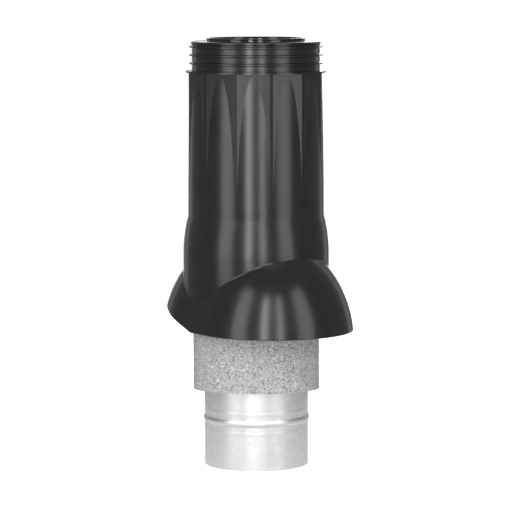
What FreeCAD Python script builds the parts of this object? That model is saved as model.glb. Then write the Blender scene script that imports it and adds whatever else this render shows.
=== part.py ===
"""Insulated roof vent pipe: plastic casing, foam sleeve, sheet-steel duct and top ring.

Millimetres, +Z up. The origin is on the duct's axis at its lower rim, and the hood
leans towards -Y, which is the down-slope side of the roof.
"""
import FreeCAD
import Part
import math
import os
import Sketcher

V = FreeCAD.Vector

doc = FreeCAD.newDocument("roof_vent_pipe")
sizes = doc.addObject("Spreadsheet::Sheet", "sizes")

# Driving dimensions in millimetres, angles in degrees
DIMENSIONS = [
    # Inner duct: rolled sheet steel with one bead near its lower end
    ("duct_dia", 125.0),
    ("duct_sheet", 0.7),
    ("duct_recess", 4.7),
    ("bead_level", 56.5),
    ("bead_width", 8.6),
    ("bead_rise", 1.3),
    # Foam sleeve round the duct, cut a little off square at its foot
    ("foam_neck_wall", 11.7),
    ("foam_gap", 0.65),
    ("foam_foot_level", 91.0),
    ("foam_cut_tilt", 3.2),
    ("foam_cut_azimuth", -35.0),
    ("foam_ease", 0.2),
    # Casing: wall and neck, with ribs that a cowl is pushed over
    ("casing_wall", 2.5),
    ("lip_rise", 1.0),
    ("lip_depth", 2.4),
    ("lip_land", 1.0),
    ("rib_rise", 3.3),
    ("rib_tip", 1.6),
    ("rib_root", 3.4),
    ("rib_start", 7.3),
    ("rib_pitch", 9.9),
    ("flange_reach", 4.9),
    ("flange_thick", 2.0),
    # Casing: twelve-sided body that widens into a round foot
    ("body_top_level", 473.3),
    ("body_step", 2.5),
    ("corner_strip", 4.0),
    ("cone_ease", 0.07),
    ("facet_phase", 8.0),
    ("body_foot_level", 302.0),
    ("body_spread", 2.5),
    ("body_bulge", 0.55),
    ("flare_drop", 45.5),
    ("flare_spread", 6.0),
    # Casing: hood, an oval arch drawn out along the roof slope
    ("hood_spread", 8.9),
    ("hood_height", 121.0),
    ("hood_shoulder", 16.8),
    ("hood_base_level", 155.0),
    ("hood_front_shift", 35.0),
    ("hood_back_shift", 29.0),
    ("rim_height", 11.0),
    ("rim_back_rise", 18.0),
    ("crease_round", 2.5),
    ("rim_round", 0.9),
    # Top ring: cover plate over the foam, spigot in the duct and upstand
    ("ring_wall", 2.0),
    ("ring_plate", 2.5),
    ("ring_spigot_length", 22.0),
    ("ring_ease", 0.2),
    ("ring_inset", 3.1),
    ("ring_upstand_height", 8.8),
    ("ring_bead_rise", 1.2),
    ("ring_bead_depth", 1.6),
]
RIB_COUNT = 3
BODY_SIDES = 12
# How far helper solids run past the faces that they cut
PAST = 60.0
# Points tried on an edge, and how close to a face they count as on it
EDGE_POINTS = 4
ON_FACE = 0.01

# Radii and levels that follow from the driving dimensions, from the duct outwards
DUCT = "(sizes.duct_dia / 2)"
DUCT_BORE = "(%s - sizes.duct_sheet)" % DUCT
FOAM_NECK = "(%s + sizes.foam_neck_wall)" % DUCT
NECK_BORE = "(%s + sizes.foam_ease)" % FOAM_NECK
NECK = "(%s + sizes.casing_wall)" % NECK_BORE
FLATS = "(%s + sizes.body_step)" % NECK
BODY_TOP = "(%s - sizes.cone_ease)" % FLATS
BODY_FOOT = "(%s + sizes.body_spread)" % FLATS
FLARE = "(%s + sizes.flare_spread)" % BODY_FOOT
HOOD_WIDTH = "(%s + sizes.hood_spread)" % FLARE
HOOD_CROWN = "(%s - sizes.hood_shoulder)" % HOOD_WIDTH
FOAM = "(%s - sizes.casing_wall - sizes.foam_gap)" % FLATS
UPSTAND = "(%s - sizes.ring_inset)" % DUCT
SHOULDER = "(sizes.body_top_level + sizes.flange_thick)"
SHOULDER_INSIDE = "(%s - sizes.casing_wall)" % SHOULDER
RIB_TOP = "(%s + sizes.rib_start + %d * sizes.rib_pitch + sizes.rib_root)" % (SHOULDER, RIB_COUNT - 1)
LIP_FOOT = "(%s + sizes.lip_land)" % RIB_TOP
NECK_TOP = "(%s + sizes.lip_rise + sizes.lip_depth)" % LIP_FOOT
DUCT_TOP = "(%s - sizes.duct_recess)" % NECK_TOP
RING_TOP = "(%s + sizes.ring_upstand_height)" % DUCT_TOP
FLARE_FOOT = "(sizes.body_foot_level - sizes.flare_drop)"
RIM = "(sizes.hood_base_level + sizes.rim_height)"

for row, (alias, number) in enumerate(DIMENSIONS, start=1):
    sizes.set("A%d" % row, alias)
    sizes.set("B%d" % row, str(number))
    sizes.setAlias("B%d" % row, alias)
doc.recompute()


def size(text):
    """Value of an expression in the sheet's names, such as 'sizes.duct_dia / 2'."""
    result = sizes.evalExpression(text)
    return float(getattr(result, "Value", result))


def bind(item, **expressions):
    """Tie properties of an object to expressions in the sheet's names."""
    for name, text in expressions.items():
        item.setExpression(name.replace("__", "."), text)


def plane_of(body, role):
    return [part for part in body.Origin.OriginFeatures if part.Role == role][0]


def outline(body, name, corners, arcs=None, role="XZ_Plane"):
    """Closed sketch through corners given as pairs of expressions.

    arcs names the stretches that are round: start corner: (radius, side), where
    side +1 puts the arc's centre to the left of the stretch and -1 to the right.
    """
    arcs = arcs or {}
    sketch = body.newObject("Sketcher::SketchObject", name)
    sketch.AttachmentSupport = [(plane_of(body, role), "")]
    sketch.MapMode = "FlatFace"
    points = [V(size(across), size(up), 0) for across, up in corners]
    count = len(points)
    for here in range(count):
        start = points[here]
        end = points[(here + 1) % count]
        if here in arcs:
            sketch.addGeometry(arc_between(start, end, size(arcs[here][0]), arcs[here][1]))
        else:
            sketch.addGeometry(Part.LineSegment(start, end))
    ends = [(1, 2) if arcs.get(here, ("", 1))[1] > 0 else (2, 1) for here in range(count)]
    for here in range(count):
        after = (here + 1) % count
        sketch.addConstraint(Sketcher.Constraint("Coincident", here, ends[here][1], after, ends[after][0]))
    for here, (across, up) in enumerate(corners):
        tie(sketch, "DistanceX", here, ends[here][0], points[here].x, across)
        tie(sketch, "DistanceY", here, ends[here][0], points[here].y, up)
        if here in arcs:
            radius = sketch.addConstraint(Sketcher.Constraint("Radius", here, size(arcs[here][0])))
            sketch.setExpression("Constraints[%d]" % radius, arcs[here][0])
    return sketch


def tie(sketch, kind, geometry, end, number, text):
    """Hold one coordinate of a corner, measured from the sketch's origin."""
    if abs(number) < 1e-9:
        axis = -2 if kind == "DistanceX" else -1
        sketch.addConstraint(Sketcher.Constraint("PointOnObject", geometry, end, axis))
        return
    place = sketch.addConstraint(Sketcher.Constraint(kind, -1, 1, geometry, end, number))
    sketch.setExpression("Constraints[%d]" % place, text)


def arc_between(start, end, radius, side):
    """Short arc from start to end; its centre is left (+1) or right (-1) of the way."""
    chord = end - start
    left = V(-chord.y, chord.x, 0).normalize()
    reach = math.sqrt(radius ** 2 - (chord.Length / 2) ** 2)
    centre = (start + end) * 0.5 + left * (reach * side)
    first, last = (start, end) if side > 0 else (end, start)
    angles = [math.atan2(point.y - centre.y, point.x - centre.x) for point in (first, last)]
    return Part.ArcOfCircle(Part.Circle(centre, V(0, 0, 1), radius), angles[0], angles[1])


def turned(name, corners, arcs=None):
    """Body made by turning a closed outline about the vertical axis."""
    body = doc.addObject("PartDesign::Body", name)
    sketch = outline(body, name + "_outline", corners, arcs)
    turn = body.newObject("PartDesign::Revolution", name + "_turn")
    turn.Profile = sketch
    turn.ReferenceAxis = (sketch, ["V_Axis"])
    turn.Angle = 360.0
    doc.recompute()
    return body


def joined(name, pieces):
    fuse = doc.addObject("Part::MultiFuse", name)
    fuse.Shapes = pieces
    return fuse


def cut(name, base, tool):
    result = doc.addObject("Part::Cut", name)
    result.Base = base
    result.Tool = tool
    return result


def make_duct():
    """Rolled tube whose bead is pressed out through the sheet."""
    low = "sizes.bead_level - sizes.bead_width / 2"
    high = "sizes.bead_level + sizes.bead_width / 2"
    bead = "(sizes.bead_width ^ 2 / 4 + sizes.bead_rise ^ 2) / (2 * sizes.bead_rise)"
    corners = [
        (DUCT, "0"),
        (DUCT, low),
        (DUCT, high),
        (DUCT, DUCT_TOP),
        (DUCT_BORE, DUCT_TOP),
        (DUCT_BORE, high),
        (DUCT_BORE, low),
        (DUCT_BORE, "0"),
    ]
    return turned("inner_duct", corners, {1: (bead, 1), 5: (bead, -1)})


def make_sleeve():
    """Foam tube that fills the body, steps in at the neck and stops under the ring's plate."""
    foot = "sizes.foam_foot_level - %s * tan(sizes.foam_cut_tilt)" % FOAM
    corners = [
        (DUCT, foot),
        (FOAM, foot),
        (FOAM, SHOULDER_INSIDE),
        (FOAM_NECK, SHOULDER_INSIDE),
        (FOAM_NECK, DUCT_TOP),
        (DUCT, DUCT_TOP),
    ]
    blank = turned("sleeve_blank", corners)
    waste = doc.addObject("Part::Box", "sleeve_waste")
    bind(
        waste,
        Length="4 * " + FOAM,
        Width="4 * " + FOAM,
        Height="2 * " + FOAM,
    )
    tilt = "rotation(vector(cos(sizes.foam_cut_azimuth); sin(sizes.foam_cut_azimuth); 0); -sizes.foam_cut_tilt)"
    base = "vector(0; 0; sizes.foam_foot_level)"
    corner = "vector(-2 * {0}; -2 * {0}; -2 * {0})".format(FOAM)
    waste.setExpression("Placement", "placement(%s; %s) * placement(%s; rotation(0; 0; 0))" % (base, tilt, corner))
    return cut("insulation_sleeve", blank, waste)


def make_ring():
    """Plastic ring: plate over the foam, spigot down in the duct and beaded upstand."""
    spigot = DUCT_BORE + " - sizes.ring_ease"
    bore = spigot + " - sizes.ring_wall"
    rim = NECK_BORE + " - sizes.ring_ease"
    inside = UPSTAND + " - sizes.ring_wall"
    bead = UPSTAND + " + sizes.ring_bead_rise"
    foot = DUCT_TOP + " - sizes.ring_spigot_length"
    plate = DUCT_TOP + " + sizes.ring_plate"
    corners = [
        (bore, foot),
        (spigot, foot),
        (spigot, DUCT_TOP),
        (rim, DUCT_TOP),
        (rim, plate),
        (UPSTAND, plate),
        (UPSTAND, RING_TOP + " - sizes.ring_bead_depth"),
        (bead, RING_TOP + " - sizes.ring_bead_depth / 2"),
        (bead, RING_TOP),
        (inside, RING_TOP),
        (inside, plate),
        (bore, DUCT_TOP),
    ]
    return turned("top_ring", corners)


def flare_radius():
    """Radius of the flare's hollow curve, which starts upright at its foot."""
    return "(sizes.flare_drop ^ 2 + sizes.flare_spread ^ 2) / (2 * sizes.flare_spread)"


def taper_radius():
    """Radius of the body's slight outward curve between its top and its foot."""
    half_drop = "((sizes.body_top_level - sizes.body_foot_level) / 2)"
    half_step = "((sizes.body_spread + sizes.cone_ease) / 2)"
    return "(%s ^ 2 + %s ^ 2 + sizes.body_bulge ^ 2) / (2 * sizes.body_bulge)" % (half_drop, half_step)


def make_casing_form():
    """Outside of the casing's round parts: neck, ribs, flange, taper and flare."""
    crest = NECK + " + sizes.rib_rise"
    lip = NECK + " + sizes.lip_rise"
    flange = FLATS + " + sizes.flange_reach"
    corners = [
        ("0", "sizes.hood_base_level"),
        (FLARE, "sizes.hood_base_level"),
        (FLARE, FLARE_FOOT),
        (BODY_FOOT, "sizes.body_foot_level"),
        (BODY_TOP, "sizes.body_top_level"),
        (flange, "sizes.body_top_level"),
        (flange, SHOULDER),
        (NECK, SHOULDER),
    ]
    for rib in range(RIB_COUNT):
        foot = "%s + sizes.rib_start + %d * sizes.rib_pitch" % (SHOULDER, rib)
        slope = "(sizes.rib_root - sizes.rib_tip) / 2"
        corners += [
            (NECK, foot),
            (crest, "%s + %s" % (foot, slope)),
            (crest, "%s + sizes.rib_root - %s" % (foot, slope)),
            (NECK, foot + " + sizes.rib_root"),
        ]
    corners += [
        (NECK, LIP_FOOT),
        (lip, LIP_FOOT + " + sizes.lip_rise"),
        (lip, NECK_TOP + " - sizes.lip_rise / 2"),
        (NECK + " + sizes.lip_rise / 2", NECK_TOP),
        ("0", NECK_TOP),
    ]
    return turned("casing_form", corners, {2: (flare_radius(), 1), 3: (taper_radius(), 1)})


def make_casing_core():
    """Hollow of the casing's round parts, one wall inside their faces."""
    wall = " - sizes.casing_wall"
    corners = [
        ("0", "sizes.hood_base_level - %g" % PAST),
        (FLARE + wall, "sizes.hood_base_level - %g" % PAST),
        (FLARE + wall, FLARE_FOOT),
        (BODY_FOOT + wall, "sizes.body_foot_level"),
        (BODY_TOP + wall, SHOULDER_INSIDE),
        (NECK_BORE, SHOULDER_INSIDE),
        (NECK_BORE, NECK_TOP + " + %g" % PAST),
        ("0", NECK_TOP + " + %g" % PAST),
    ]
    return turned("casing_core", corners, {2: (flare_radius(), 1), 3: (taper_radius(), 1)})


def make_facets(name, inset, top_inset):
    """Twelve-sided prism whose corners are planed to narrow strips."""
    apothem = "(%s - %s)" % (FLATS, inset)
    half_side = 180 / BODY_SIDES
    radius = "%s / cos(%g)" % (apothem, half_side)
    strips = "(%s / cos(%g) - sizes.corner_strip / 2 * tan(%g) - %s)" % (FLATS, half_side, half_side, inset)
    prisms = []
    for kind, circle, turn in (("flats", radius, 0), ("strips", strips + " / cos(%g)" % half_side, half_side)):
        prism = doc.addObject("Part::Prism", name + "_" + kind)
        prism.Polygon = BODY_SIDES
        bind(
            prism,
            Circumradius=circle,
            Height="sizes.body_top_level - %s - sizes.body_foot_level" % top_inset,
            Placement__Base__z="sizes.body_foot_level",
            Placement__Rotation__Angle="sizes.facet_phase - 90 + %g" % turn,
        )
        prisms.append(prism)
    common = doc.addObject("Part::Common", name)
    common.Base = prisms[0]
    common.Tool = prisms[1]
    return common


def hood_profile(inset):
    """Corners and arcs of half the hood's arch: a long side arc, then a top arc."""
    width = "(%s - %s)" % (HOOD_WIDTH, inset)
    height = "(sizes.hood_height - %s)" % inset
    crown = "(%s - %s)" % (HOOD_CROWN, inset)
    drop = "(sizes.hood_height - %s)" % HOOD_CROWN
    side = "((%s ^ 2 + %s ^ 2 - %s ^ 2) / (2 * (%s - %s)))" % (width, drop, crown, width, crown)
    share = "%s / (%s - %s)" % (crown, side, crown)
    meet = "(%s - %s) * %s" % (side, width, share)
    meet_level = "sizes.hood_base_level + %s + %s * %s" % (drop, drop, share)
    return {
        "foot": (width, "sizes.hood_base_level"),
        "meet": (meet, meet_level),
        "top": ("0", "sizes.hood_base_level + " + height),
        "left_meet": ("-" + meet, meet_level),
        "left_foot": ("-" + width, "sizes.hood_base_level"),
        "side": side,
        "crown": crown,
    }


def make_dome(name, inset):
    """Arch drawn out along the slope, with half a dome turned at each end."""
    body = doc.addObject("PartDesign::Body", name)
    form = hood_profile(inset)
    half = [("0", "sizes.hood_base_level"), form["foot"], form["meet"], form["top"]]
    for end, shift, back in (("front", "sizes.hood_front_shift", False), ("back", "-sizes.hood_back_shift", True)):
        sketch = outline(body, "%s_%s_outline" % (name, end), half, {1: (form["side"], 1), 2: (form["crown"], 1)})
        bind(sketch, AttachmentOffset__Base__z=shift)
        turn = body.newObject("PartDesign::Revolution", "%s_%s_dome" % (name, end))
        turn.Profile = sketch
        turn.ReferenceAxis = (sketch, ["V_Axis"])
        turn.Angle = 180.0
        turn.Reversed = not back
        if end == "front":
            make_arch(body, name, form)
    doc.recompute()
    return body


def make_arch(body, name, form):
    """Stretch between the two domes, from the front one back."""
    whole = [form["foot"], form["meet"], form["left_meet"], form["left_foot"]]
    arcs = {0: (form["side"], 1), 1: (form["crown"], 1), 2: (form["side"], 1)}
    sketch = outline(body, name + "_arch_outline", whole, arcs)
    bind(sketch, AttachmentOffset__Base__z="sizes.hood_front_shift")
    pad = body.newObject("PartDesign::Pad", name + "_arch")
    pad.Profile = sketch
    pad.Reversed = True
    bind(pad, Length="sizes.hood_front_shift + sizes.hood_back_shift")


def make_rim_waste():
    """All that lies below the hood's rim: level in front, rising at the back."""
    body = doc.addObject("PartDesign::Body", "rim_waste")
    front = "-(sizes.hood_front_shift + %s + %g)" % (HOOD_WIDTH, PAST)
    back = "sizes.hood_back_shift + %s + %g" % (HOOD_WIDTH, PAST)
    floor = "sizes.hood_base_level - sizes.hood_height - %g" % PAST
    corners = [
        (front, floor),
        (back, floor),
        (back, "%s + (%s) * tan(sizes.rim_back_rise)" % (RIM, back)),
        ("0", RIM),
        (front, RIM),
    ]
    sketch = outline(body, "rim_outline", corners, role="YZ_Plane")
    pad = body.newObject("PartDesign::Pad", "rim_pad")
    pad.Profile = sketch
    pad.SideType = "Symmetric"
    bind(pad, Length="2 * (%s + %g)" % (HOOD_WIDTH, PAST))
    doc.recompute()
    return body


def shared_edges(shape, first, second):
    """Numbers of the edges that lie on the faces of two other solids, from 1 up."""
    numbers = []
    for number, edge in enumerate(shape.Edges, start=1):
        points = [Part.Vertex(point) for point in edge.discretize(EDGE_POINTS)]
        walls = [wall for solid in (first, second) for wall in solid.Shape.Shells]
        if all(wall.distToShape(point)[0] < ON_FACE for wall in walls for point in points):
            numbers.append(number)
    return numbers


def make_casing():
    """One moulded shell: the outer form less its hollow and what lies below the rim."""
    form = make_casing_form()
    hood = make_dome("hood", "0")
    outside = joined("casing_outside", [form, make_facets("facets", "0", "0"), hood])
    rim_waste = make_rim_waste()
    inside = joined("casing_inside", [
        make_casing_core(),
        make_facets("inner_facets", "sizes.casing_wall", "(sizes.casing_wall - sizes.flange_thick)"),
        make_dome("inner_hood", "sizes.casing_wall"),
        rim_waste,
    ])
    shell = cut("casing_shell", outside, inside)
    doc.recompute()
    casing = doc.addObject("Part::Fillet", "outer_casing")
    casing.Base = shell
    rounds = [("sizes.crease_round", hood, form), ("sizes.rim_round", hood, rim_waste)]
    casing.Edges = [
        (number, size(radius), size(radius))
        for radius, first, second in rounds
        for number in shared_edges(shell.Shape, first, second)
    ]
    return casing


PARTS = {
    "inner_duct": make_duct(),
    "insulation_sleeve": make_sleeve(),
    "top_ring": make_ring(),
    "outer_casing": make_casing(),
}
doc.recompute()

for item in doc.Objects:
    if "Invalid" in item.State or "Error" in item.State:
        raise RuntimeError("%s failed: %s" % (item.Name, item.State))
os.makedirs("parts", exist_ok=True)
for node, item in PARTS.items():
    item.Label = node
    if item.Shape.isNull() or not item.Shape.isValid():
        raise RuntimeError("%s has no valid shape" % node)
for node, item in PARTS.items():
    item.Shape.exportStep("parts/%s.step" % node)
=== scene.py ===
"""Insulated roof vent pipe: finishes for the moulded casing and the galvanised duct, the
foam sleeve and the top ring modelled anew, and a plain studio. Lengths in metres."""
import math

import bmesh
import bpy
from bpy.props import FloatProperty, FloatVectorProperty, IntProperty, PointerProperty
from mathutils import Matrix, Vector


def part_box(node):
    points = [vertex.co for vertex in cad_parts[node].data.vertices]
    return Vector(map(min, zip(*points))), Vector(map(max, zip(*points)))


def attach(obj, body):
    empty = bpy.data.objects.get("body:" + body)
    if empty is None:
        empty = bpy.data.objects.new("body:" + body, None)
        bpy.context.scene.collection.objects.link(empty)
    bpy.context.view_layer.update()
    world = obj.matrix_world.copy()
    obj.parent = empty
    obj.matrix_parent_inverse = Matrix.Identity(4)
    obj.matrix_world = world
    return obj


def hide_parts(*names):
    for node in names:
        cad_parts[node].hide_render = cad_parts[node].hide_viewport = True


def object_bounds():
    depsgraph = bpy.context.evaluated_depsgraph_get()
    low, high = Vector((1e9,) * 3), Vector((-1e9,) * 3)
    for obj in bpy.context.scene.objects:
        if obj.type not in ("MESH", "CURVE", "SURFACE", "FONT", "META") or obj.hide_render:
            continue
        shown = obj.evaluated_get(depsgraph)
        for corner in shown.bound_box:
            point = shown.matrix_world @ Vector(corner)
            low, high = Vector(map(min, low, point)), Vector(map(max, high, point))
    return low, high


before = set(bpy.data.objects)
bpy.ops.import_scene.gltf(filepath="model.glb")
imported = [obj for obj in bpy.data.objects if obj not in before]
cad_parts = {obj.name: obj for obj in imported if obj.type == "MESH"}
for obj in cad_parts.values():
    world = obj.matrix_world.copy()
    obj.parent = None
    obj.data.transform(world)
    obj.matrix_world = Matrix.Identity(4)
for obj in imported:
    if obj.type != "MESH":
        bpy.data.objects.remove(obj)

bl_info = {
    "name": "Insulated roof vent pipe",
    "version": (1, 0, 0),
    "blender": (4, 5, 0),
    "location": "View3D > Sidebar > Roof vent",
    "description": "Finishes a roof vent pipe: black casing, foam sleeve, galvanised duct and top ring",
    "category": "Object",
}

CAD_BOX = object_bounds()
SLEEVE_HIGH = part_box("insulation_sleeve")[1]
DUCT_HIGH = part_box("inner_duct")[1]
RING_LOW, RING_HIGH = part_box("top_ring")
DUCT_RADIUS = 0.0625

# Points closer than the first are merged, levels closer than the second are one level
MERGE = 0.00001
SAME_LEVEL = 0.000001
SMOOTH_ANGLE = math.radians(50.0)

# The photo's width and the focal length fitted to it, in pixels
PHOTO_WIDTH = 511.0
FOCAL_LENGTH = 2669.3

# Each lamp: degrees from the camera's side, its power setting, share of it, width, distance
LAMPS = (
    (-11.5, "front_power", 1.0, 0.26, 1.7),
    (10.5, "front_power", 0.66, 0.26, 1.7),
    (-48.0, "lamp_power", 1.0, 0.60, 1.5),
    (47.0, "lamp_power", 0.85, 0.60, 1.5),
    (-140.0, "edge_power", 1.0, 0.15, 1.5),
    (140.0, "edge_power", 1.0, 0.15, 1.5),
    (172.0, "back_power", 1.0, 0.35, 1.7),
    (-166.0, "back_power", 0.5, 0.35, 1.7),
)


def colour(name, description, default):
    """Colour property with the usual limits."""
    return FloatVectorProperty(name=name, description=description, default=default,
                               subtype="COLOR", size=3, min=0.0, max=1.0)


def length(name, description, default, least=0.0):
    """Length property in metres."""
    return FloatProperty(name=name, description=description, default=default,
                         min=least, unit="LENGTH", precision=5)


def factor(name, description, default):
    """Plain share between 0 and 1."""
    return FloatProperty(name=name, description=description, default=default,
                         min=0.0, max=1.0, subtype="FACTOR")


def whole(name, description, default, least):
    """Whole-number property."""
    return IntProperty(name=name, description=description, default=default, min=least)


def watts(name, description, default):
    """Lamp power property in watts."""
    return FloatProperty(name=name, description=description, default=default,
                         min=0.0, unit="POWER")


def angle(name, description, degrees):
    """Angle property, given in degrees and kept in radians."""
    return FloatProperty(name=name, description=description, default=math.radians(degrees),
                         subtype="ANGLE", unit="ROTATION")


class CasingSettings(bpy.types.PropertyGroup):
    """Black moulded plastic of the casing."""
    black: colour("Black", "Colour of the moulded plastic", (0.010, 0.010, 0.0105))
    dust: colour("Dust", "Colour of the haze that settles on the plastic", (0.035, 0.035, 0.034))
    haze: factor("Haze", "How much the settled haze shows", 0.14)
    gloss_roughness: factor("Roughness", "Roughness of the clean moulded face", 0.22)
    grain: length("Grain", "Size of the fine mould grain", 0.0011)
    grain_depth: length("Grain depth", "Depth of the fine mould grain", 0.000005)
    sink: length("Sink marks", "Width of the slow waves left by cooling", 0.055)
    sink_depth: length("Sink depth", "Depth of the slow waves", 0.00009)


class RingSettings(bpy.types.PropertyGroup):
    """Top ring: cover plate, spigot in the duct and upstand, in black plastic."""
    spigot: length("Spigot radius", "Radius of the spigot that stands in the duct", 0.0616)
    bore: length("Bore radius", "Radius inside the spigot", 0.0596)
    rim: length("Plate radius", "Radius of the cover plate", RING_HIGH.x)
    upstand: length("Upstand radius", "Radius of the upstand", 0.0594)
    mouth: length("Mouth radius", "Radius inside the upstand", 0.0574)
    bead: length("Bead radius", "Radius of the upstand's bead", 0.0606)
    under: length("Plate underside", "Level at which the plate rests on duct and foam", DUCT_HIGH.z)
    plate_top: length("Plate top", "Level of the cover plate's face", 0.5100)
    edge: length("Edge", "Size of the small edge roundings", 0.0004)
    hair: length("Hair", "Smallest play, which keeps the ring inside its stated height", 0.00001)
    sides: whole("Sides", "Sides of the round ring", 192, 24)
    black: colour("Black", "Colour of the ring", (0.014, 0.014, 0.015))
    dust: colour("Dust", "Colour of the haze that settles on the ring", (0.06, 0.06, 0.06))
    haze: factor("Haze", "How much the settled haze shows", 0.15)
    gloss_roughness: factor("Roughness", "Roughness of the ring", 0.08)
    grain: length("Grain", "Size of the fine mould grain", 0.0009)
    grain_depth: length("Grain depth", "Depth of the fine mould grain", 0.000012)
    sink: length("Sink marks", "Width of the slow waves left by cooling", 0.04)
    sink_depth: length("Sink depth", "Depth of the slow waves", 0.00004)


class SleeveSettings(bpy.types.PropertyGroup):
    """Foam sleeve: its cut foot, its beads and its greys."""
    outer: length("Outer radius", "Radius of the sleeve below the neck", SLEEVE_HIGH.x)
    wall: length("Wall", "Thickness of the foam round the duct", SLEEVE_HIGH.x - DUCT_RADIUS)
    neck: length("Neck radius", "Radius of the sleeve inside the casing's neck", 0.0742)
    shoulder: length("Shoulder", "Level at which the sleeve steps in", 0.4728)
    foot: length("Foot", "Mean level of the cut foot", 0.091)
    cut_tilt: angle("Cut tilt", "How far the foot is cut off square", 3.2)
    cut_side: angle("Cut side", "Direction that the higher side of the cut faces", -35.0)
    cut_reach: length("Cut reach", "Height over which the lean of the cut fades out", 0.040)
    sides: whole("Sides", "Sides of the round sleeve", 256, 24)
    step: length("Step", "Height of one band of faces where the foam shows", 0.0018, 0.0005)
    fine_level: length("Fine level", "Level up to which the bands are fine", 0.20)
    hidden_step: length("Hidden step", "Height of one band inside the casing", 0.04)
    bore_step: length("Bore step", "Height of one band of the bore over the fine level", 0.08)
    low_bore_step: length("Low bore step", "Height of one band of the bore under it", 0.02)
    foot_bands: whole("Foot bands", "Bands of faces across the cut foot", 7, 2)
    torn_level: length("Torn level", "Level up to which the foam is torn, under the hood", 0.195)
    whole_rim: length("Whole rim", "Width round the duct that is left whole", 0.0012)
    crumb: length("Crumb", "Size of the torn beads", 0.0030)
    crumb_depth: length("Crumb depth", "Depth of the torn beads", 0.0010)
    fine_crumb: factor("Fine crumbs", "Size of the fine crumbs as a share of the torn beads", 0.45)
    fine_depth: factor("Fine depth", "Depth of the fine crumbs as a share of the torn beads", 0.6)
    bead: length("Bead", "Size of the foam's beads", 0.0018)
    stray: length("Stray", "How far the beads stray from an even pattern", 0.0022)
    relief: length("Relief", "Height of the beads and flecks in the finish", 0.0007)
    light: colour("Light beads", "Colour of the light beads", (0.76, 0.76, 0.755))
    mid: colour("Middle beads", "Colour of most beads", (0.56, 0.56, 0.56))
    dark: colour("Dark beads", "Colour of the gaps and dark beads", (0.30, 0.30, 0.302))


class DuctSettings(bpy.types.PropertyGroup):
    """Galvanised sheet steel of the duct."""
    zinc: colour("Zinc", "Colour of the galvanised face", (0.81, 0.815, 0.82))
    dull: colour("Dull zinc", "Colour of the duller crystals", (0.76, 0.765, 0.772))
    roughness: factor("Roughness", "Mean roughness of the zinc", 0.39)
    crystal_spread: factor("Crystal spread", "How far the crystals differ in roughness", 0.05)
    blot_spread: factor("Blot spread", "How far the dull blots differ in roughness", 0.10)
    crystal: length("Crystals", "Size of the zinc crystals", 0.006)
    scratch_depth: length("Rolling lines", "Depth of the fine rolling lines", 0.000012)
    press_high: length("Upper press line", "Level of the faint press line over the bead", 0.0680)
    press_low: length("Lower press line", "Level of the faint press line under the bead", 0.0444)
    press_width: length("Press line width", "Width of a press line", 0.0026)
    press_depth: length("Press line depth", "Height of a press line", 0.00008)


class StudioSettings(bpy.types.PropertyGroup):
    """Camera, floor and lamps."""
    view_side: angle("View side", "Direction of the camera round the part", -35.0)
    view_distance: length("Distance", "Level distance of the camera from the duct's axis", 3.2)
    view_height: length("Height", "Height of the camera over the duct's lower rim", 0.6)
    aim_height: length("Aim", "Height of the point at the middle of the picture", 0.2525)
    aim_aside: length("Aside", "How far the aim point lies to the right of the axis", -0.0007, -1.0)
    view_roll: angle("Roll", "Slight lean of the camera", 0.1)
    focal_share: FloatProperty(name="Focal share", description="Focal length over picture width",
                               default=FOCAL_LENGTH / PHOTO_WIDTH, min=0.1)
    far_share: FloatProperty(name="Far share", description="How many floor radii the camera sees",
                             default=1.6, min=1.0)
    front_power: watts("Front power", "Power of the stronger lamp beside the camera", 12.5)
    lamp_power: watts("Side power", "Power of the stronger lamp at the side", 9.8)
    edge_power: watts("Edge power", "Power of each narrow lamp behind the part", 0.6)
    back_power: watts("Back power", "Power of the stronger lamp straight behind the part", 6.0)
    lamp_tall: length("Lamp height", "Height of each lamp's face", 1.7)
    lamp_level: length("Lamp level", "Level of each lamp's middle", 0.87)
    lamp_aim: length("Lamp aim", "Level on the axis that each lamp faces", 0.80)
    table_reach: length("Table", "Radius of the pale table that the gloss mirrors", 0.50)
    tent_radius: length("Tent", "Radius of the dark tent", 2.4)
    tent_foot: length("Tent foot", "Level of the dark cloth round the table", 0.001)
    tent_top: length("Tent top", "Level of the tent's roof", 3.0)
    tent_mouth: length("Tent mouth", "Radius of the opening in the tent's roof", 0.7)
    tent_gap: angle("Tent gap", "Half of the opening behind the part", 8.0)
    tent_glow: factor("Tent glow", "Glow of the dark cloth in the gloss", 0.20)
    tent_sides: whole("Tent sides", "Sides of the round tent", 72, 24)
    room_light: factor("Room light", "Strength of the even light from all round", 0.35)
    floor_radius: length("Floor", "Radius of the floor, which fills the view", 50.0)
    floor_drop: length("Floor drop", "How far the floor lies under the part", 0.0004)
    floor_sides: whole("Floor sides", "Sides of the round floor", 96, 24)
    floor_glow: factor("Floor glow", "Glow that lets the seen floor end in white", 0.78)
    floor_mirrored: factor("Mirrored floor", "Glow of the floor where gloss mirrors it", 0.06)


# Shared shader building


def fresh_material(name):
    """New node material and its Principled shader."""
    made = bpy.data.materials.new(name)
    made.use_nodes = True
    return made, made.node_tree, made.node_tree.nodes["Principled BSDF"]


def add(tree, kind, label, **inputs):
    """Node with its own label; inputs are set by socket name, with _ for a space."""
    node = tree.nodes.new(kind)
    node.label = label
    for name, value in inputs.items():
        node.inputs[name.replace("_", " ")].default_value = value
    return node


def join(tree, source, output, target, entry):
    """Link between two sockets by name or number."""
    tree.links.new(source.outputs[output], target.inputs[entry])


def feed(tree, node, entry, value):
    """Sets a socket, or links it where the value is a (node, output) pair."""
    if isinstance(value, tuple) and isinstance(value[0], bpy.types.Node):
        join(tree, value[0], value[1], node, entry)
    else:
        node.inputs[entry].default_value = value


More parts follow.
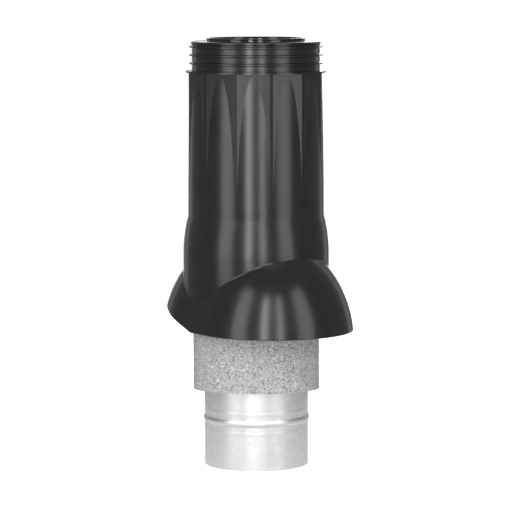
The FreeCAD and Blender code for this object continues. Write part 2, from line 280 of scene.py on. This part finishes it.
def arithmetic(tree, operation, label, first, second):
    """Math node; each side is a number or a (node, output) pair."""
    node = tree.nodes.new("ShaderNodeMath")
    node.operation = operation
    node.label = label
    feed(tree, node, 0, first)
    feed(tree, node, 1, second)
    return node


def texture(tree, kind, label, place, **inputs):
    """Texture node that is read at a place, given as a (node, output) pair."""
    node = add(tree, kind, label, **inputs)
    feed(tree, node, "Vector", place)
    return node


def blend(tree, label, share, first, second, kind="MIX"):
    """Colour mix; the share and both colours are values or (node, output) pairs."""
    node = tree.nodes.new("ShaderNodeMix")
    node.data_type = "RGBA"
    node.blend_type = kind
    node.label = label
    for entry, value in ((0, share), (6, first), (7, second)):
        feed(tree, node, entry, value)
    return node


def bump(tree, label, distance, height, normal=None):
    """Bump node; it lies over another bump where a normal is given."""
    node = tree.nodes.new("ShaderNodeBump")
    node.label = label
    feed(tree, node, "Distance", distance)
    feed(tree, node, "Height", height)
    if normal:
        feed(tree, node, "Normal", normal)
    return node


def ramp(tree, label, stops, interpolation="LINEAR"):
    """Colour ramp from (place, colour) stops."""
    node = tree.nodes.new("ShaderNodeValToRGB")
    node.label = label
    node.color_ramp.interpolation = interpolation
    points = node.color_ramp.elements
    while len(points) < len(stops):
        points.new(0.5)
    for point, (place, shade) in zip(points, stops):
        point.position = place
        point.color = (shade[0], shade[1], shade[2], 1.0)
    return node


def grey(value):
    """Grey as a colour."""
    return (value, value, value)


def new_group(name, entries, exits):
    """Empty shader node group; entries are (name, kind, default) and exits (name, kind)."""
    tree = bpy.data.node_groups.new(name, "ShaderNodeTree")
    for title, kind, default in entries:
        socket = tree.interface.new_socket(title, in_out="INPUT", socket_type=kind)
        if default is not None:
            socket.default_value = default
    for title, kind in exits:
        tree.interface.new_socket(title, in_out="OUTPUT", socket_type=kind)
    return tree, tree.nodes.new("NodeGroupInput"), tree.nodes.new("NodeGroupOutput")


FLOAT = "NodeSocketFloat"
VECTOR = "NodeSocketVector"


def inverse(tree, source, output, label):
    """Texture scale for a feature of the size that the socket gives."""
    return arithmetic(tree, "DIVIDE", label, 1.0, (source, output))


def moulded_group():
    """Mould grain, cooling waves and settled haze, for both black plastics."""
    tree, entry, leave = new_group(
        "Moulded face",
        [("Place", VECTOR, None), ("Grain size", FLOAT, 0.001), ("Grain depth", FLOAT, 0.00001),
         ("Wave size", FLOAT, 0.05), ("Wave depth", FLOAT, 0.0001), ("Clean roughness", FLOAT, 0.25)],
        [("Roughness", FLOAT), ("Haze", FLOAT), ("Normal", VECTOR)],
    )
    place = (entry, "Place")
    grain = texture(tree, "ShaderNodeTexNoise", "fine grain", place, Detail=2.0)
    join(tree, inverse(tree, entry, "Grain size", "grains per metre"), 0, grain, "Scale")
    wave = texture(tree, "ShaderNodeTexNoise", "cooling waves", place, Detail=1.0)
    join(tree, inverse(tree, entry, "Wave size", "waves per metre"), 0, wave, "Scale")
    slow = bump(tree, "waves", (entry, "Wave depth"), (wave, 0))
    fine = bump(tree, "grain", (entry, "Grain depth"), (grain, 0), (slow, "Normal"))
    join(tree, fine, "Normal", leave, "Normal")
    smear = texture(tree, "ShaderNodeTexNoise", "smears", place,
                    Scale=34.0, Detail=4.0, Roughness=0.6)
    haze = ramp(tree, "where haze lies", [(0.38, grey(0.0)), (0.85, grey(1.0))])
    join(tree, smear, 0, haze, 0)
    join(tree, haze, 0, leave, "Haze")
    extra = arithmetic(tree, "MULTIPLY", "rougher haze", (haze, 0), 0.035)
    total = arithmetic(tree, "ADD", "roughness", (extra, 0), (entry, "Clean roughness"))
    join(tree, total, 0, leave, "Roughness")
    return tree


def place_group(tree, group, label, **inputs):
    """Group node in a material, with Object coordinates on its Place socket."""
    node = tree.nodes.new("ShaderNodeGroup")
    node.node_tree = group
    node.label = label
    coords = tree.nodes.new("ShaderNodeTexCoord")
    join(tree, coords, "Object", node, "Place")
    for name, value in inputs.items():
        node.inputs[name.replace("_", " ")].default_value = value
    return node


def black_plastic(name, settings, group):
    """Glossy black polypropylene with grain, waves and a faint haze, for casing and ring."""
    made, tree, shader = fresh_material(name)
    face = place_group(
        tree, group, "moulded face", Grain_size=settings.grain,
        Grain_depth=settings.grain_depth, Wave_size=settings.sink,
        Wave_depth=settings.sink_depth, Clean_roughness=settings.gloss_roughness,
    )
    share = arithmetic(tree, "MULTIPLY", "haze share", (face, "Haze"), settings.haze)
    tint = blend(tree, "haze over black", (share, 0),
                 (*settings.black, 1.0), (*settings.dust, 1.0))
    join(tree, tint, 2, shader, "Base Color")
    join(tree, face, "Roughness", shader, "Roughness")
    join(tree, face, "Normal", shader, "Normal")
    shader.inputs["IOR"].default_value = 1.49
    return made


def foam_material(settings):
    """Moulded foam: beads of three greys, painted shade in the gaps between them and a rough face."""
    made, tree, shader = fresh_material("speckled foam")
    place = (tree.nodes.new("ShaderNodeTexCoord"), "Object")
    warp = texture(tree, "ShaderNodeTexNoise", "uneven beads", place, Scale=210.0, Detail=2.0)
    shift = tree.nodes.new("ShaderNodeVectorMath")
    shift.label = "beads that stray"
    shift.operation = "MULTIPLY_ADD"
    for entry, value in enumerate(((warp, 1), grey(settings.stray), place)):
        feed(tree, shift, entry, value)
    beads = texture(tree, "ShaderNodeTexVoronoi", "beads", (shift, 0), Scale=1.0 / settings.bead)
    gaps = texture(tree, "ShaderNodeTexVoronoi", "gaps between beads", (shift, 0),
                   Scale=1.0 / settings.bead)
    gaps.feature = "DISTANCE_TO_EDGE"
    pick = tree.nodes.new("ShaderNodeSeparateColor")
    pick.label = "one value for each bead"
    join(tree, beads, "Color", pick, 0)
    greys = ramp(tree, "bead greys", [
        (0.0, settings.dark), (0.32, settings.mid), (0.70, settings.mid), (1.0, settings.light),
    ])
    join(tree, pick, 0, greys, 0)
    fleck = texture(tree, "ShaderNodeTexNoise", "flecks", place,
                    Scale=760.0, Detail=3.0, Roughness=0.7)
    flecks = ramp(tree, "fleck strength", [(0.36, grey(0.62)), (0.60, grey(1.12))])
    join(tree, fleck, 0, flecks, 0)
    speckle = blend(tree, "flecks over beads", 1.0, (greys, 0), (flecks, 0), "MULTIPLY")
    # Painted shade: the colour is darkened in the gaps between beads, where the relief dips; the same
    # ramp also gives that relief
    gap_depth_and_shade = ramp(tree, "gap depth and painted shade", [(0.0, grey(0.55)), (0.10, grey(1.0))])
    join(tree, gaps, "Distance", gap_depth_and_shade, 0)
    mixed = blend(tree, "painted shade in gaps", 0.8, (speckle, 2), (gap_depth_and_shade, 0), "MULTIPLY")
    join(tree, mixed, 2, shader, "Base Color")
    height = arithmetic(tree, "ADD", "beads and flecks", (gap_depth_and_shade, 0), (fleck, 0))
    rough = bump(tree, "bead relief", settings.relief, (height, 0))
    join(tree, rough, "Normal", shader, "Normal")
    shader.inputs["Roughness"].default_value = 0.92
    shader.inputs["Specular IOR Level"].default_value = 0.25
    return made


def zinc_material(settings):
    """Galvanised sheet: zinc crystals, rolling lines, two press lines and dull blots."""
    made, tree, shader = fresh_material("galvanised steel")
    place = (tree.nodes.new("ShaderNodeTexCoord"), "Object")
    crystals = texture(tree, "ShaderNodeTexVoronoi", "zinc crystals", place,
                       Scale=1.0 / settings.crystal)
    pick = tree.nodes.new("ShaderNodeSeparateColor")
    pick.label = "two values for each crystal"
    join(tree, crystals, "Color", pick, 0)
    tint = blend(tree, "bright and dull zinc", (pick, 0),
                 (*settings.zinc, 1.0), (*settings.dull, 1.0))
    join(tree, tint, 2, shader, "Base Color")
    stretch = tree.nodes.new("ShaderNodeMapping")
    stretch.label = "drawn out along the duct"
    stretch.inputs["Scale"].default_value = (1.0, 1.0, 0.04)
    feed(tree, stretch, "Vector", place)
    lines = texture(tree, "ShaderNodeTexNoise", "rolling lines", (stretch, 0),
                    Scale=900.0, Detail=3.0)
    rolled = bump(tree, "rolling lines", settings.scratch_depth, (lines, 0))
    pressed = press_lines(tree, settings, place, (rolled, "Normal"))
    join(tree, pressed, "Normal", shader, "Normal")
    blot = texture(tree, "ShaderNodeTexNoise", "dull blots", place, Scale=60.0, Detail=3.0)
    uneven = arithmetic(tree, "MULTIPLY", "crystal roughness", (pick, 1), settings.crystal_spread)
    blots = arithmetic(tree, "MULTIPLY", "blot roughness", (blot, 0), settings.blot_spread)
    both = arithmetic(tree, "ADD", "crystals and blots", (uneven, 0), (blots, 0))
    # Crystals and blots add about this much on average
    average = 0.08
    rough = arithmetic(tree, "ADD", "roughness", (both, 0), settings.roughness - average)
    join(tree, rough, 0, shader, "Roughness")
    shader.inputs["Metallic"].default_value = 1.0
    return made


def press_lines(tree, settings, place, normal):
    """Bump of the two faint level lines that lie over and under the duct's bead."""
    across = tree.nodes.new("ShaderNodeSeparateXYZ")
    feed(tree, across, 0, place)
    marks = []
    for title, level in (("upper", settings.press_high), ("lower", settings.press_low)):
        apart = arithmetic(tree, "SUBTRACT", title + " press line", (across, "Z"), level)
        off = arithmetic(tree, "ABSOLUTE", "distance from it", (apart, 0), 0.0)
        share = arithmetic(tree, "DIVIDE", "in widths", (off, 0), settings.press_width)
        marks.append(arithmetic(tree, "SUBTRACT", title + " ridge", 1.0, (share, 0)))
    either = arithmetic(tree, "MAXIMUM", "either press line", (marks[0], 0), (marks[1], 0))
    ridge = ramp(tree, "press line shape", [(0.0, grey(0.0)), (0.5, grey(1.0))], "EASE")
    join(tree, either, 0, ridge, 0)
    return bump(tree, "press lines", settings.press_depth, (ridge, 0), normal)


# Modelling helpers


def deselect():
    """Nothing selected, object mode."""
    if bpy.context.object and bpy.context.object.mode != "OBJECT":
        bpy.ops.object.mode_set(mode="OBJECT")
    bpy.ops.object.select_all(action="DESELECT")


def dress(piece, material):
    """One material for the whole piece, a CAD node or a new one."""
    if not piece.data.materials:
        piece.data.materials.append(material)
    for place in range(len(piece.data.materials)):
        piece.data.materials[place] = material


def stand_for(piece, node):
    """The piece is shown in the CAD node's place: the node is hidden and the piece hangs from the root
    body.
    """
    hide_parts(node)
    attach(piece, "root")


class Ring:
    """Round band drawn up in edit mode: each move extrudes the last ring."""

    def __init__(self, name, radius, level, sides):
        deselect()
        bpy.ops.mesh.primitive_circle_add(vertices=sides, radius=radius, location=(0.0, 0.0, level))
        bpy.ops.object.transform_apply(location=True)
        self.piece = bpy.context.object
        self.piece.name = name
        self.radius = radius
        self.level = level
        bpy.ops.object.mode_set(mode="EDIT")
        bpy.ops.mesh.select_mode(type="EDGE")
        bpy.ops.mesh.select_all(action="SELECT")

    def to(self, radius, level):
        """Extrudes the last ring to another radius and level."""
        rise = (0.0, 0.0, level - self.level)
        bpy.ops.mesh.extrude_region_move(TRANSFORM_OT_translate={"value": rise})
        if radius != self.radius:
            share = radius / self.radius
            bpy.ops.transform.resize(value=(share, share, 1.0), center_override=(0.0, 0.0, level))
        self.radius = radius
        self.level = level

    def climb(self, level, step):
        """Rises straight to a level in even steps."""
        count = max(1, round(abs(level - self.level) / step))
        start = self.level
        for turn in range(1, count + 1):
            self.to(self.radius, start + (level - start) * turn / count)

    def close(self):
        """Merges doubled points, turns all faces outwards and leaves edit mode."""
        bpy.ops.mesh.select_all(action="SELECT")
        bpy.ops.mesh.remove_doubles(threshold=MERGE)
        bpy.ops.mesh.normals_make_consistent(inside=False)
        bpy.ops.object.mode_set(mode="OBJECT")


def pick_rings(piece, test):
    """Selects the vertices that pass a test of their place, in edit mode."""
    mesh = bmesh.from_edit_mesh(piece.data)
    for vertex in mesh.verts:
        vertex.select = test(vertex.co)
    mesh.select_flush(True)
    bmesh.update_edit_mesh(piece.data)


# Operators


class ROOFVENT_OT_casing(bpy.types.Operator):
    """Black moulded finish for the casing"""
    bl_idname = "roofvent.casing"
    bl_label = "Casing"

    def execute(self, context):
        own = context.scene.roofvent_casing
        plastic = black_plastic("glossy black plastic", own, moulded_group())
        dress(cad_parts["outer_casing"], plastic)
        return {"FINISHED"}


class ROOFVENT_OT_top_ring(bpy.types.Operator):
    """Black top ring with its spigot, cover plate and beaded upstand"""
    bl_idname = "roofvent.top_ring"
    bl_label = "Top ring"

    def execute(self, context):
        own = context.scene.roofvent_ring
        group = bpy.data.node_groups["Moulded face"]
        plastic = black_plastic("satin black plastic", own, group)
        top = RING_HIGH.z - own.hair
        ring = Ring("moulded_ring", own.spigot, RING_LOW.z, own.sides)
        for radius, level in (
            (own.spigot, own.under),
            (own.rim, own.under),
            (own.rim, own.plate_top - own.edge),
            (own.rim - own.edge, own.plate_top),
            (own.upstand + own.edge, own.plate_top),
            (own.upstand, own.plate_top + own.edge),
            (own.upstand, top - 4.0 * own.edge),
            (own.bead, top - 2.0 * own.edge),
            (own.bead, top - own.edge),
            (own.bead - own.edge, top),
            (own.mouth + own.edge, top),
            (own.mouth, top - own.edge),
            (own.mouth, own.under),
            (own.bore, own.under - 2.0 * own.edge),
            (own.bore, RING_LOW.z),
            (own.spigot, RING_LOW.z),
        ):
            ring.to(radius, level)
        ring.close()
        bpy.ops.object.shade_smooth_by_angle(angle=SMOOTH_ANGLE)
        dress(ring.piece, plastic)
        stand_for(ring.piece, "top_ring")
        return {"FINISHED"}


class ROOFVENT_OT_duct(bpy.types.Operator):
    """Galvanised finish for the duct"""
    bl_idname = "roofvent.duct"
    bl_label = "Duct"

    def execute(self, context):
        dress(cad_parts["inner_duct"], zinc_material(context.scene.roofvent_duct))
        return {"FINISHED"}


class ROOFVENT_OT_foam_sleeve(bpy.types.Operator):
    """Foam sleeve with a rough face and a torn foot"""
    bl_idname = "roofvent.foam_sleeve"
    bl_label = "Foam sleeve"

    def execute(self, context):
        own = context.scene.roofvent_sleeve
        bore = own.outer - own.wall
        body = Ring("foam_sleeve", own.outer, own.foot, own.sides)
        body.climb(own.fine_level, own.step)
        body.climb(own.shoulder, own.hidden_step)
        body.to(own.neck, own.shoulder)
        body.climb(DUCT_HIGH.z, own.hidden_step)
        body.to(bore, DUCT_HIGH.z)
        body.climb(own.fine_level, own.bore_step)
        body.climb(own.foot, own.low_bore_step)
        for turn in range(1, own.foot_bands):
            body.to(bore + own.wall * turn / own.foot_bands, own.foot)
        self.bridge_foot(body, own)
        self.tilt_foot(body.piece, own)
        body.close()
        body.piece.rotation_euler.z = own.cut_side
        bpy.ops.object.transform_apply(rotation=True)
        self.roughen(body.piece, own)
        bpy.ops.object.shade_smooth_by_angle(angle=SMOOTH_ANGLE)
        dress(body.piece, foam_material(own))
        stand_for(body.piece, "insulation_sleeve")
        return {"FINISHED"}

    def bridge_foot(self, body, own):
        """Joins the last band of the foot to the outer edge, where the sleeve began."""
        low = own.foot + SAME_LEVEL
        edges = (own.outer, body.radius)
        pick_rings(body.piece, lambda place: place.z < low and any(
            abs(place.xy.length - edge) < MERGE for edge in edges))
        bpy.ops.mesh.bridge_edge_loops()

    def tilt_foot(self, piece, own):
        """Leans the foot and, less and less, the bands above it; -Y ends up higher."""
        reach = own.cut_reach
        levels = sorted({round(vertex.co.z, 7) for vertex in bmesh.from_edit_mesh(piece.data).verts
                         if vertex.co.z < own.foot + reach})
        for level in levels:
            pick_rings(piece, lambda place: abs(place.z - level) < SAME_LEVEL)
            share = 1.0 - (level - own.foot) / reach
            bpy.ops.transform.rotate(value=own.cut_tilt * share, orient_axis="X",
                                     center_override=(0.0, 0.0, level))

    def roughen(self, piece, own):
        """Torn beads on the shown faces, mostly inwards and only below the hood."""
        shown = piece.vertex_groups.new(name="shown foam")
        inner = own.outer - own.wall + own.whole_rim
        for vertex in piece.data.vertices:
            if vertex.co.z < own.torn_level and vertex.co.xy.length > inner:
                shown.add([vertex.index], 1.0, "REPLACE")
        for title, size, depth in (
            ("beads", own.crumb, own.crumb_depth),
            ("crumbs", own.crumb * own.fine_crumb, own.crumb_depth * own.fine_depth),
        ):
            relief = bpy.data.textures.new(title, "CLOUDS")
            relief.noise_scale = size
            relief.noise_depth = 1
            worn = piece.modifiers.new(title, "DISPLACE")
            worn.texture = relief
            worn.texture_coords = "LOCAL"
            worn.vertex_group = shown.name
            worn.strength = depth
            worn.mid_level = 0.75
            bpy.ops.object.modifier_apply(modifier=worn.name)


class ROOFVENT_OT_studio(bpy.types.Operator):
    """Pale floor, tall soft lamps and the camera"""
    bl_idname = "roofvent.studio"
    bl_label = "Studio"

    def execute(self, context):
        own = context.scene.roofvent_studio
        self.make_floor(own)
        self.make_room(context.scene, own)
        for side, setting, share, wide, away in LAMPS:
            self.make_lamp(own, side, getattr(own, setting) * share, wide, away)
        self.make_tent(own)
        self.make_camera(context.scene, own)
        context.scene.view_settings.view_transform = "Standard"
        return {"FINISHED"}

    def make_floor(self, own):
        """White floor that fills the view; its glow leaves hardly any shadow."""
        deselect()
        bpy.ops.mesh.primitive_circle_add(
            vertices=own.floor_sides, radius=own.floor_radius, fill_type="NGON",
            location=(0.0, 0.0, CAD_BOX[0].z - own.floor_drop),
        )
        floor = bpy.context.object
        floor.name = "studio_floor"
        made, tree, shader = fresh_material("white floor")
        shader.inputs["Base Color"].default_value = (0.86, 0.86, 0.86, 1.0)
        shader.inputs["Roughness"].default_value = 0.9
        shader.inputs["Specular IOR Level"].default_value = 0.0
        shader.inputs["Emission Color"].default_value = (1.0, 1.0, 1.0, 1.0)
        path = tree.nodes.new("ShaderNodeLightPath")
        seen = arithmetic(tree, "MULTIPLY", "glow when seen",
                          (path, "Is Camera Ray"), own.floor_glow)
        mirrored = arithmetic(tree, "MULTIPLY", "glow when mirrored",
                              (path, "Is Glossy Ray"), own.floor_mirrored)
        glow = arithmetic(tree, "ADD", "floor glow", (seen, 0), (mirrored, 0))
        join(tree, glow, 0, shader, "Emission Strength")
        floor.data.materials.append(made)

    def make_room(self, scene, own):
        """White all round for what is seen and mirrored, softer for the light it gives."""
        room = bpy.data.worlds.new("white room")
        room.use_nodes = True
        tree = room.node_tree
        back = tree.nodes["Background"]
        back.inputs["Color"].default_value = (1.0, 1.0, 1.0, 1.0)
        path = tree.nodes.new("ShaderNodeLightPath")
        seen = arithmetic(tree, "MAXIMUM", "seen or mirrored",
                          (path, "Is Camera Ray"), (path, "Is Glossy Ray"))
        through = arithmetic(tree, "MAXIMUM", "or seen through",
                             (seen, 0), (path, "Is Transmission Ray"))
        strength = tree.nodes.new("ShaderNodeMapRange")
        strength.label = "room strength"
        strength.inputs["To Min"].default_value = own.room_light
        strength.inputs["To Max"].default_value = 1.0
        join(tree, through, 0, strength, "Value")
        join(tree, strength, 0, back, "Strength")
        scene.world = room

    def make_lamp(self, own, degrees, power, wide, away):
        """Tall soft lamp that faces the part, at so many degrees from the camera's side."""
        side = own.view_side + math.radians(degrees)
        lamp = bpy.data.lights.new("soft_lamp", "AREA")
        lamp.shape = "RECTANGLE"
        lamp.size = wide
        lamp.size_y = own.lamp_tall
        lamp.energy = power
        holder = bpy.data.objects.new("soft_lamp", lamp)
        bpy.context.scene.collection.objects.link(holder)
        place = Vector((math.sin(side) * away, -math.cos(side) * away, own.lamp_level))
        aim = Vector((0.0, 0.0, own.lamp_aim)) - place
        holder.location = place
        holder.rotation_euler = aim.to_track_quat("-Z", "Y").to_euler()
        holder.visible_camera = False

    def make_tent(self, own):
        """Dark cloth round the table, seen only in the gloss; open overhead and behind."""
        tent = Ring("dark_tent", own.table_reach, own.tent_foot, own.tent_sides)
        tent.to(own.tent_radius, own.tent_foot)
        tent.to(own.tent_radius, own.tent_top)
        tent.to(own.tent_mouth, own.tent_top)
        bpy.ops.mesh.select_mode(type="FACE")
        behind = Vector((-math.sin(own.view_side), math.cos(own.view_side), 0.0))
        mesh = bmesh.from_edit_mesh(tent.piece.data)
        middle = (own.tent_foot + own.tent_top) / 2.0
        for face in mesh.faces:
            centre = face.calc_center_median()
            wall = abs(centre.z - middle) < middle / 2.0
            face.select = wall and centre.xy.angle(behind.xy) < own.tent_gap
        bmesh.update_edit_mesh(tent.piece.data)
        bpy.ops.mesh.delete(type="FACE")
        bpy.ops.object.mode_set(mode="OBJECT")
        made, tree, shader = fresh_material("dark cloth")
        shader.inputs["Base Color"].default_value = (0.05, 0.05, 0.05, 1.0)
        shader.inputs["Roughness"].default_value = 0.9
        shader.inputs["Emission Color"].default_value = (1.0, 1.0, 1.0, 1.0)
        shader.inputs["Emission Strength"].default_value = own.tent_glow
        tent.piece.data.materials.append(made)
        tent.piece.visible_camera = False
        tent.piece.visible_diffuse = False
        tent.piece.visible_shadow = False

    def make_camera(self, scene, own):
        """Camera at the photograph's place, aimed at its point and leaning slightly."""
        lens = bpy.data.cameras.new("camera")
        lens.sensor_width = 36.0
        lens.lens = own.focal_share * lens.sensor_width
        lens.clip_end = own.far_share * own.floor_radius
        camera = bpy.data.objects.new("camera", lens)
        scene.collection.objects.link(camera)
        side = own.view_side
        away = own.view_distance
        camera.location = (math.sin(side) * away, -math.cos(side) * away, own.view_height)
        across = Vector((math.cos(side), math.sin(side), 0.0))
        aim = across * own.aim_aside + Vector((0.0, 0.0, own.aim_height)) - camera.location
        turn = aim.to_track_quat("-Z", "Y").to_matrix() @ Matrix.Rotation(-own.view_roll, 3, "Z")
        camera.rotation_euler = turn.to_euler()
        scene.camera = camera


class ROOFVENT_PT_panel(bpy.types.Panel):
    """Sidebar panel that lists the pieces"""
    bl_label = "Roof vent pipe"
    bl_idname = "ROOFVENT_PT_panel"
    bl_space_type = "VIEW_3D"
    bl_region_type = "UI"
    bl_category = "Roof vent"

    def draw(self, context):
        for operator, group in PIECES:
            box = self.layout.box()
            box.operator(operator)
            settings = getattr(context.scene, group)
            for name in settings.__annotations__:
                box.prop(settings, name)


PIECES = [
    ("roofvent.casing", "roofvent_casing"),
    ("roofvent.top_ring", "roofvent_ring"),
    ("roofvent.duct", "roofvent_duct"),
    ("roofvent.foam_sleeve", "roofvent_sleeve"),
    ("roofvent.studio", "roofvent_studio"),
]
SETTINGS = {
    "roofvent_casing": CasingSettings,
    "roofvent_ring": RingSettings,
    "roofvent_duct": DuctSettings,
    "roofvent_sleeve": SleeveSettings,
    "roofvent_studio": StudioSettings,
}
CLASSES = [
    *SETTINGS.values(),
    ROOFVENT_OT_casing,
    ROOFVENT_OT_top_ring,
    ROOFVENT_OT_duct,
    ROOFVENT_OT_foam_sleeve,
    ROOFVENT_OT_studio,
    ROOFVENT_PT_panel,
]


def register():
    """Adds the classes and one settings group for each piece to the scene."""
    for item in CLASSES:
        bpy.utils.register_class(item)
    for name, kind in SETTINGS.items():
        setattr(bpy.types.Scene, name, PointerProperty(type=kind))


def unregister():
    """Takes away what register added."""
    for name in SETTINGS:
        delattr(bpy.types.Scene, name)
    for item in reversed(CLASSES):
        bpy.utils.unregister_class(item)


def main():
    """Makes every piece in order."""
    register()
    bpy.ops.roofvent.casing()
    bpy.ops.roofvent.top_ring()
    bpy.ops.roofvent.duct()
    bpy.ops.roofvent.foam_sleeve()
    bpy.ops.roofvent.studio()
    bpy.context.view_layer.update()


if __name__ == "__main__":
    main()
